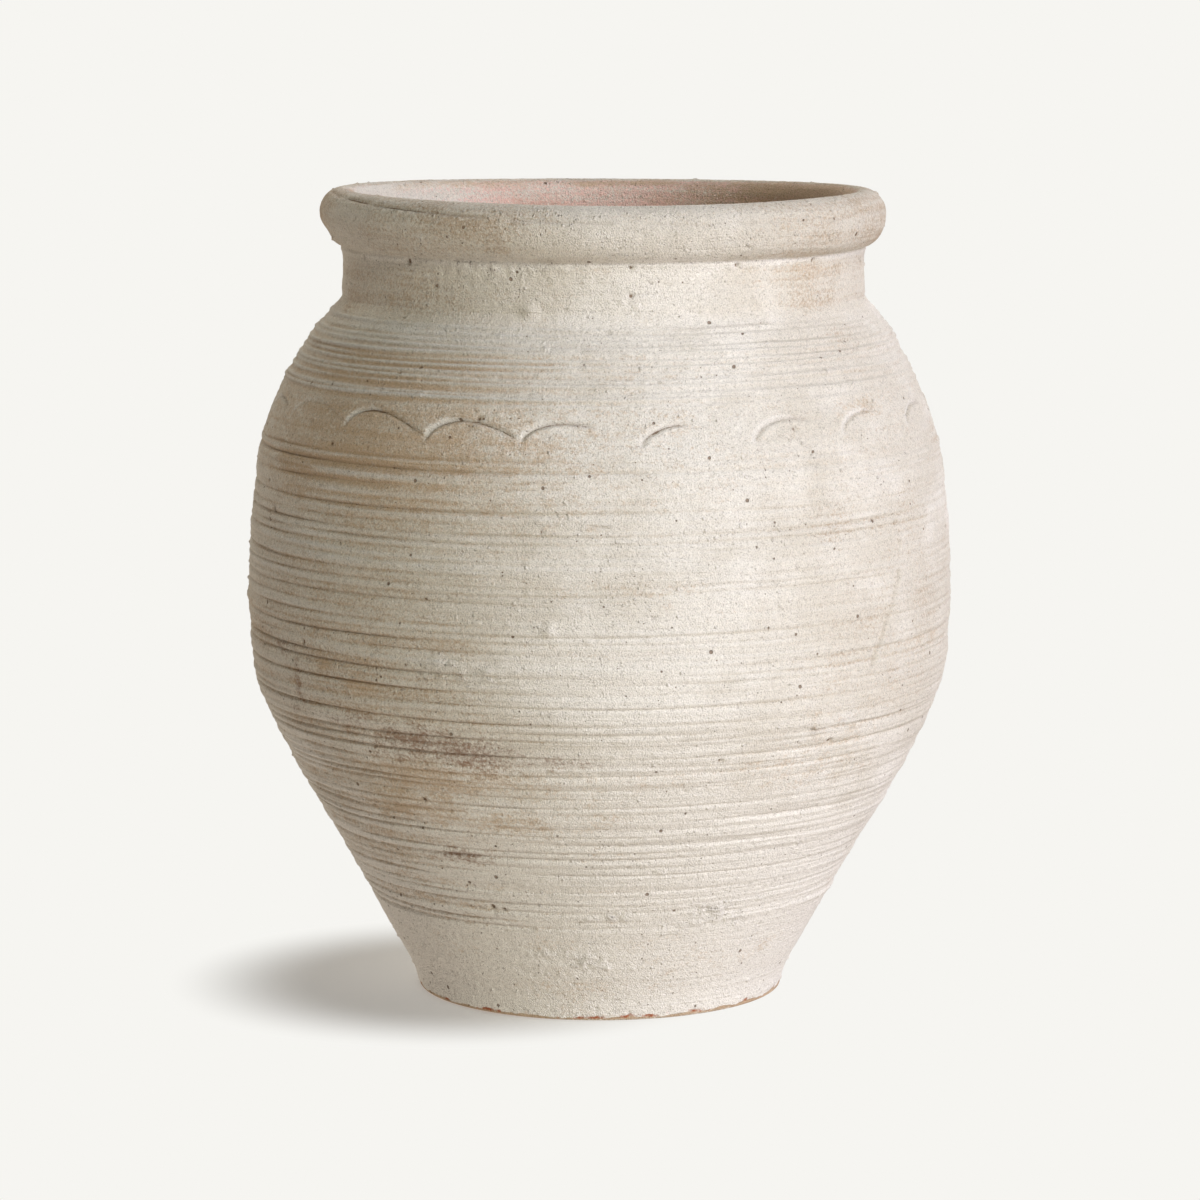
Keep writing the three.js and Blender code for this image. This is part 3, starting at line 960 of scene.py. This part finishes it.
def keep_corners_sharp(mesh, joint):
    """Marks the edges that run round the jar along the outline's corners, the seams' rows and those beside
    them, as sharp."""
    corner = joint | np.roll(joint, 1) | np.roll(joint, -1)
    edges = np.empty(len(mesh.edges) * 2, dtype=np.int32)
    mesh.edges.foreach_get("vertices", edges)
    row = edges.reshape(-1, 2) // COLUMNS
    sharp = (row[:, 0] == row[:, 1]) & np.isin(row[:, 0], np.flatnonzero(corner))
    mesh.attributes.new("sharp_edge", "BOOLEAN", "EDGE").data.foreach_set("value", sharp)


def clay_piece(node, rows, wall, slot, poles=()):
    """Turns an outline round the axis with its marks, and sets the piece in place of its node. Each point
    moves along the outline's normal by the marks' relief. The poles are the heights where an outline that
    isn't closed meets the axis."""
    turns = (np.arange(COLUMNS) / COLUMNS)[None, :]
    coat = coat_for(rows, turns, wall)
    radius = rows.radius[:, None] + rows.out[:, None] * coat.relief
    height = rows.height[:, None] + rows.up[:, None] * coat.relief
    radius, height = settle(radius, height, turns)
    angle = 2 * math.pi * turns
    points = np.stack((radius * np.sin(angle), -radius * np.cos(angle), height), axis=-1).reshape(-1, 3)
    count = len(rows.radius)
    triangles = np.empty((0, 3), dtype=int)
    if poles:
        fans = (fan_faces(0, len(points), True), fan_faces(count - 1, len(points) + 1, False))
        triangles = np.vstack(fans)
        points = np.vstack((points, *((0, 0, pole) for pole in poles)))
    mesh = make_mesh(node + "_clay", points, ring_faces(count, not poles), triangles)
    inside = np.broadcast_to(rows.inside[:, None], coat.recess.shape)
    for name, value in (*coat._asdict().items(), ("inside", inside)):
        if name == "relief":
            continue
        value = value.ravel()
        if poles:
            value = np.concatenate((value, value[:1], value[-1:]))
        mesh.attributes.new(name, "FLOAT", "POINT").data.foreach_set("value", value.astype(np.float32))
    keep_corners_sharp(mesh, rows.joint > 0)
    mesh.materials.append(clay_materials()[slot])
    piece = bpy.data.objects.new(node + "_clay", mesh)
    bpy.context.scene.collection.objects.link(piece)
    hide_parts(node)
    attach(piece, "root")


class Nodes:
    """Short ways to build a node tree."""

    def __init__(self, tree):
        self.tree = tree

    def put(self, kind, values=None, **settings):
        """Adds a node with its settings, links or sets its inputs, and gives its outputs."""
        node = self.tree.nodes.new("ShaderNode" + kind)
        node.location = (190 * len(self.tree.nodes), 0)
        for name, value in settings.items():
            setattr(node, name, value)
        for socket, value in (values or {}).items():
            if isinstance(value, bpy.types.NodeSocket):
                self.tree.links.new(value, node.inputs[socket])
            else:
                node.inputs[socket].default_value = value
        return node.outputs

    def maths(self, operation, *values):
        """A sum on one, two or three numbers."""
        return self.put("Math", dict(enumerate(values)), operation=operation)[0]

    def times(self, a, b):
        """One number times another."""
        return self.maths("MULTIPLY", a, b)

    def times_plus(self, a, b, c):
        """One number times another, and a third added."""
        return self.maths("MULTIPLY_ADD", a, b, c)

    def stirred(self, level, noise, strength):
        """A level moved up and down by noise, as far as its strength says."""
        return self.times_plus(self.maths("SUBTRACT", noise, 0.5), strength, level)

    def greater(self, a, b):
        """The greater of two numbers."""
        return self.maths("MAXIMUM", a, b)

    def mix(self, factor, first, second, mode="MIX"):
        """One colour laid on another by a factor."""
        values = {0: factor, 6: first, 7: second}
        return self.put("Mix", values, data_type="RGBA", blend_type=mode)[2]

    def ramp(self, value, low, high):
        """A smooth step of a number between two others."""
        values = {"Value": value, "From Min": low, "From Max": high}
        return self.put("MapRange", values, interpolation_type="SMOOTHSTEP")[0]

    def noise(self, place, scale, detail, roughness=0.5):
        """Noise from 0 to 1 at a place."""
        values = {"Vector": place, "Scale": scale, "Detail": detail, "Roughness": roughness}
        return self.put("TexNoise", values)[0]

    def stretched(self, place, *scale):
        """A place with its three directions scaled."""
        return self.put("Mapping", {"Vector": place, "Scale": scale})[0]

    def dots(self, place, scale, least, most, kept, core):
        """Round dots in some of the cells of a Voronoi pattern. A dot is 1 out to the core's share of its
        radius and 0 at its rim. Radii are in parts of a cell."""
        cells = self.put("TexVoronoi", {"Vector": place, "Scale": scale})
        chance = self.put("SeparateColor", {0: cells["Color"]})
        size = self.times_plus(chance[1], most - least, least)
        dot = self.ramp(cells["Distance"], size, self.times(size, core))
        return self.times(dot, self.maths("LESS_THAN", chance[0], kept))

    def use(self, group, **values):
        """Places a node group and gives its outputs."""
        return self.put("Group", values, node_tree=group)

    def give(self, **values):
        """Gives a node group its outputs."""
        for name in values:
            self.tree.interface.new_socket(name=name, in_out="OUTPUT", socket_type="NodeSocketFloat")
        result = self.tree.nodes.new("NodeGroupOutput").inputs
        for name, value in values.items():
            self.tree.links.new(value, result[name])
        return self.tree


def node_group(name, *numbers):
    """A node group that takes a place and some numbers, and its inputs."""
    tree = bpy.data.node_groups.new(name, "ShaderNodeTree")
    tree.interface.new_socket(name="Place", in_out="INPUT", socket_type="NodeSocketVector")
    for label in numbers:
        tree.interface.new_socket(name=label, in_out="INPUT", socket_type="NodeSocketFloat")
    return Nodes(tree), *tree.nodes.new("NodeGroupInput").outputs[: len(numbers) + 1]


def cleared_nodes(owner):
    """The empty node tree of a material or a world."""
    owner.use_nodes = True
    owner.node_tree.nodes.clear()
    return Nodes(owner.node_tree)


def grit_group():
    """Coarse grit in the clay: sand of two sizes, bigger grains and lime lumps that stand proud, crumbs
    that lie in swarms and wherever the clay is rough, and pinholes of two sizes where a grain fell out.
    Gives a height, the sand, and masks of the grains and the pinholes."""
    n, place, rough = node_group("Clay grit", "Rough")
    sand = n.times_plus(n.noise(place, 1250, 1), 0.75, n.times(n.noise(place, 420, 2), 0.25))
    grains = n.dots(place, 540, 0.2, 0.42, 0.25, 0.1)
    lumps = n.dots(place, 150, 0.08, 0.18, 0.4, 0.1)
    swarm = n.greater(n.ramp(n.noise(place, 42, 3, 0.6), 0.5, 0.64), n.times(rough, 2.0))
    crumbs = n.times(n.dots(place, 300, 0.14, 0.36, 0.6, 0.2), swarm)
    small = n.dots(place, 230, 0.07, 0.15, 0.28, 0.6)
    large = n.dots(place, 80, 0.05, 0.11, 0.7, 0.7)
    height = n.times(sand, 3.6)
    for feature, rise in ((grains, 1.6), (lumps, 4.0), (crumbs, 3.2), (small, -3), (large, -4)):
        height = n.times_plus(feature, rise, height)
    standing, sunken = n.greater(grains, lumps), n.greater(small, large)
    return n.give(Height=height, Sand=sand, Grains=standing, Pinholes=sunken)


def drag_group():
    """Fine streaks round the jar: noise squeezed upwards and stretched round, at a place that sways a
    little up and down. Gives a streak value and a height."""
    n, place = node_group("Throwing drag")
    sway = n.put("CombineXYZ", {2: n.times(n.noise(place, 14, 2), 5 * MM)})[0]
    lifted = n.put("VectorMath", {0: place, 1: sway}, operation="ADD")[0]
    broad = n.noise(n.stretched(lifted, 9, 9, 300), 1, 3, 0.6)
    fine = n.noise(n.stretched(lifted, 30, 30, 1000), 1, 2, 0.6)
    return n.give(Streak=broad, Height=n.times_plus(fine, 0.5, broad))


def cover_group():
    """How well the wash covers: the cover asked for, broken up by soft clouds, by streaks and by grains
    of sand, and sharpened."""
    n, place, cover, streak = node_group("Wash cover", "Cover", "Streak")
    level = n.stirred(cover, n.noise(place, 26, 4, 0.6), 0.9)
    level = n.stirred(level, streak, 0.9)
    level = n.stirred(level, n.noise(place, 640, 2, 0.6), 1.5)
    return n.give(Mask=n.ramp(level, 0.1, 0.8))


def stain_group():
    """A stain's edge broken up: the painted mask against cloudy noise, drawn out round the jar, and sand."""
    n, place, stain = node_group("Stain edge", "Stain")
    level = n.stirred(stain, n.noise(n.stretched(place, 1, 1, 2.5), 80, 5, 0.75), 1.8)
    level = n.stirred(level, n.noise(place, 600, 2, 0.6), 1.4)
    return n.give(Mask=n.times(n.ramp(level, 0.1, 1.0), n.ramp(stain, 0.0, 0.15)))


def opaque(value):
    """A linear colour as a shader takes it."""
    return (*value, 1)


def clay_material(name, colours, groups, first):
    """Coarse fired clay under the chalky wash, which lies thinner in the grooves and inside. The stains,
    chips, dirt and grit lie over both, with painted shade in the grooves, hollows and cuts, and painted
    light on what stands proud."""
    n = cleared_nodes(bpy.data.materials.new(name))
    place = n.put("TexCoord")["Object"]
    painted = (*Coat._fields[1:], "inside")
    value = {label: n.put("Attribute", attribute_name=label)["Fac"] for label in painted}
    grit = n.use(groups["grit"], Place=place, Rough=value["grit"])
    drag = n.use(groups["drag"], Place=place)
    mask = {}
    for label in ("film", "tan", "smoke", "chip"):
        mask[label] = n.use(groups["stain"], Place=place, Stain=value[label])["Mask"]

    clay = n.mix(value["inside"], opaque(first), opaque(colours.inner_clay))
    deeper = n.mix(1.0, clay, (0.82, 0.76, 0.70, 1), "MULTIPLY")
    clay = n.mix(n.ramp(n.noise(place, 17, 4, 0.6), 0.35, 0.7), clay, deeper)
    thick = n.ramp(n.stirred(value["wash"], n.noise(place, 31, 3, 0.6), 0.6), 0.5, 0.85)
    chalk = n.mix(thick, opaque(colours.wash_shade), opaque(colours.wash))
    filmy = n.ramp(n.noise(n.stretched(place, 1, 1, 4), 24, 4, 0.65), 0.5, 0.75)
    chalk = n.mix(n.times(filmy, 0.2), chalk, opaque(colours.film))
    asked = n.times(value["wash"], 1.5)
    cover = n.use(groups["cover"], Place=place, Cover=asked, Streak=drag["Streak"])["Mask"]
    base = n.mix(cover, clay, chalk)
    for factor, strength, tint in (
        (mask["tan"], 0.85, colours.tan),
        (mask["film"], 0.75, colours.film),
        (mask["smoke"], 0.9, colours.smoke),
        # The dark colour of grooves, cuts and pits: partly dirt and partly painted shade
        (value["recess"], 0.3, colours.dirt_and_shade),
        (n.ramp(value["recess"], 0.78, 0.92), 0.8, colours.dirt_and_shade),
        (mask["chip"], 1.0, colours.chip),
        (grit["Grains"], 0.3, colours.grain),
        (grit["Pinholes"], 0.8, colours.dirt_and_shade),
        (n.ramp(grit["Sand"], 0.42, 0.32), 0.2, colours.dirt_and_shade),
    ):
        base = n.mix(n.times(factor, strength), base, opaque(tint))
    base = n.mix(1.0, base, n.times_plus(grit["Sand"], 0.8, 0.52), "MULTIPLY")
    height = n.times(grit["Height"], n.times_plus(value["grit"], 1.3, 1.0))
    height = n.times_plus(drag["Height"], 3.0, height)
    bump = n.put("Bump", {"Height": height, "Distance": 0.2 * MM, "Strength": 1.0})[0]
    rough = n.times_plus(drag["Streak"], 0.12, 0.84)
    surface = {"Base Color": base, "Roughness": rough, "Normal": bump, "Specular IOR Level": 0.2}
    n.put("OutputMaterial", {"Surface": n.put("BsdfPrincipled", surface)[0]})


def clay_materials():
    """Both clay finishes by their slots, made once."""
    names = {"washed_clay": "Washed clay", "bare_clay": "Bare clay"}
    if "Washed clay" not in bpy.data.materials:
        groups = {"grit": grit_group(), "drag": drag_group(), "cover": cover_group(), "stain": stain_group()}
        colours = bpy.context.scene.clay_colours
        clay_material("Washed clay", colours, groups, colours.clay)
        clay_material("Bare clay", colours, groups, colours.bare)
    return {slot: bpy.data.materials[name] for slot, name in names.items()}


def smooth_form():
    """The form's sizes and the smooth outside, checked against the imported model."""
    form = bpy.context.scene.jar_form
    wall = outer_wall(form)
    allowed = 2 * MM
    for node, under in BELOW.items():
        rows = wall[(wall[:, 1] >= SEAM[under]) & (wall[:, 1] <= SEAM[node])]
        if abs(rows[:, 0].max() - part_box(node)[1][0]) > allowed:
            raise RuntimeError(f"The radii of {node} don't match the packed model")
    return form, wall


class CLAYJAR_OT_floor(bpy.types.Operator):
    """Makes the slab that the jar stands on"""

    bl_idname = "clayjar.floor"
    bl_label = "Floor disc"

    def execute(self, context):
        form, wall = smooth_form()
        clay_piece(FLOOR, floor_rows(form, wall), wall, "bare_clay", (0, SEAM[FLOOR]))
        return {"FINISHED"}


class CLAYJAR_OT_courses(bpy.types.Operator):
    """Makes the courses of the wall, from the foot to the neck"""

    bl_idname = "clayjar.courses"
    bl_label = "Wall courses"

    def execute(self, context):
        form, wall = smooth_form()
        for node in WALLS:
            clay_piece(node, course_rows(form, wall, node), wall, "washed_clay")
        return {"FINISHED"}


class CLAYJAR_OT_rim(bpy.types.Operator):
    """Makes the rolled rim"""

    bl_idname = "clayjar.rim"
    bl_label = "Rim roll"

    def execute(self, context):
        form, wall = smooth_form()
        clay_piece(ROLL, roll_rows(form, wall), wall, "washed_clay")
        return {"FINISHED"}


def softboxes(lamps, floor, state):
    """Makes lamps that light only the floor, or everything but the floor."""
    group = bpy.data.collections.new(state.capitalize() + " floor")
    group.objects.link(floor)
    group.collection_objects[0].light_linking.link_state = state
    for name, (azimuth, elevation, width, strength, tint) in lamps.items():
        lamp = bpy.data.lights.new(name, "SUN")
        lamp.angle = math.radians(width)
        lamp.energy = strength
        lamp.color = tint
        holder = bpy.data.objects.new(name, lamp)
        holder.rotation_euler = (math.radians(90 - elevation), 0, math.radians(azimuth))
        holder.light_linking.receiver_collection = group
        bpy.context.scene.collection.objects.link(holder)


def seen_directly(n):
    """1 where the camera sees the surface, itself or in a reflection or through something."""
    path = n.put("LightPath")
    return n.greater(n.greater(path["Is Camera Ray"], path["Is Glossy Ray"]), path["Is Transmission Ray"])


def floor_material(studio):
    """The floor's look: the backdrop's colour, as worked out from its lamp, wherever the jar casts no
    shadow. Away from the shadow it glows in that colour, and it throws a plain glow on the jar."""
    light = np.array(studio.ambient) * studio.ambient_level
    for _, elevation, _, strength, tint in FLOOR_LAMP.values():
        light = light + np.array(tint) * strength * math.sin(math.radians(elevation)) / math.pi
    material = bpy.data.materials.new("Studio floor")
    n = cleared_nodes(material)
    place = n.put("TexCoord")["Object"]
    middle = (*studio.shadow_middle, 0)
    distance = n.put("VectorMath", {0: place, 1: middle}, operation="DISTANCE")["Value"]
    away = n.ramp(distance, studio.shadow_core, studio.shadow_reach)
    away = n.times_plus(away, 1 - studio.shadow_lift, studio.shadow_lift)
    shadowed = n.put("BsdfDiffuse", {"Color": opaque(np.array(studio.backdrop) / light)})[0]
    plain = n.put("Emission", {"Color": opaque(studio.backdrop)})[0]
    shown = n.put("MixShader", {0: away, 1: shadowed, 2: plain})[0]
    glow = n.put("Emission", {"Color": opaque(studio.glow)})[0]
    n.put("OutputMaterial", {"Surface": n.put("MixShader", {0: seen_directly(n), 1: glow, 2: shown})[0]})
    return material


def studio_floor(studio):
    """A wide plain floor."""
    half, height = studio.floor_half, -studio.floor_drop
    corners = np.array([(x * half, y * half, height) for x, y in ((-1, -1), (1, -1), (1, 1), (-1, 1))])
    mesh = make_mesh("Studio floor", corners, np.array([[0, 1, 2, 3]]), np.empty((0, 3), dtype=int))
    mesh.materials.append(floor_material(studio))
    floor = bpy.data.objects.new("Studio floor", mesh)
    bpy.context.scene.collection.objects.link(floor)
    return floor


def studio_world(studio):
    """The backdrop's colour where it is seen, and the dim light from all round elsewhere."""
    world = bpy.data.worlds.new("Studio")
    n = cleared_nodes(world)
    light = opaque(np.array(studio.ambient) * studio.ambient_level)
    tint = n.mix(seen_directly(n), light, opaque(studio.backdrop))
    n.put("OutputWorld", {"Surface": n.put("Background", {"Color": tint, "Strength": 1.0})[0]})
    return world


class CLAYJAR_OT_stage(bpy.types.Operator):
    """Sets the camera, the soft lamps and the pale floor"""

    bl_idname = "clayjar.stage"
    bl_label = "Stage"

    def execute(self, context):
        scene = context.scene
        studio = scene.studio
        camera = bpy.data.objects.new("Camera", bpy.data.cameras.new("Camera"))
        camera.data.lens = studio.lens
        camera.data.clip_end = 500
        camera.location = studio.eye
        camera.rotation_euler = (math.pi / 2 - studio.pitch, 0, 0)
        scene.collection.objects.link(camera)
        scene.camera = camera
        floor = studio_floor(studio)
        softboxes(LAMPS, floor, "EXCLUDE")
        softboxes(FLOOR_LAMP, floor, "INCLUDE")
        scene.world = studio_world(studio)
        scene.view_settings.view_transform = "Standard"
        return {"FINISHED"}


class CLAYJAR_PT_panel(bpy.types.Panel):
    """Lists the jar's pieces and the stage"""

    bl_idname = "CLAYJAR_PT_panel"
    bl_label = "Clay jar"
    bl_space_type = "VIEW_3D"
    bl_region_type = "UI"
    bl_category = "Clay jar"

    def draw(self, context):
        for operator in OPERATORS:
            self.layout.operator(operator.bl_idname)
        for group, kind in GROUPS.items():
            box = self.layout.box()
            box.label(text=group.replace("_", " ").capitalize())
            for name in kind.__annotations__:
                box.prop(getattr(context.scene, group), name)


OPERATORS = (CLAYJAR_OT_stage, CLAYJAR_OT_floor, CLAYJAR_OT_courses, CLAYJAR_OT_rim)


def register():
    for kind in (*GROUPS.values(), *OPERATORS, CLAYJAR_PT_panel):
        bpy.utils.register_class(kind)
    for name, kind in GROUPS.items():
        setattr(bpy.types.Scene, name, bpy.props.PointerProperty(type=kind))


def unregister():
    for name in GROUPS:
        delattr(bpy.types.Scene, name)
    for kind in (CLAYJAR_PT_panel, *OPERATORS, *GROUPS.values()):
        bpy.utils.unregister_class(kind)


def main():
    register()
    bpy.ops.clayjar.stage()
    bpy.ops.clayjar.floor()
    bpy.ops.clayjar.courses()
    bpy.ops.clayjar.rim()


if __name__ == "__main__":
    main()
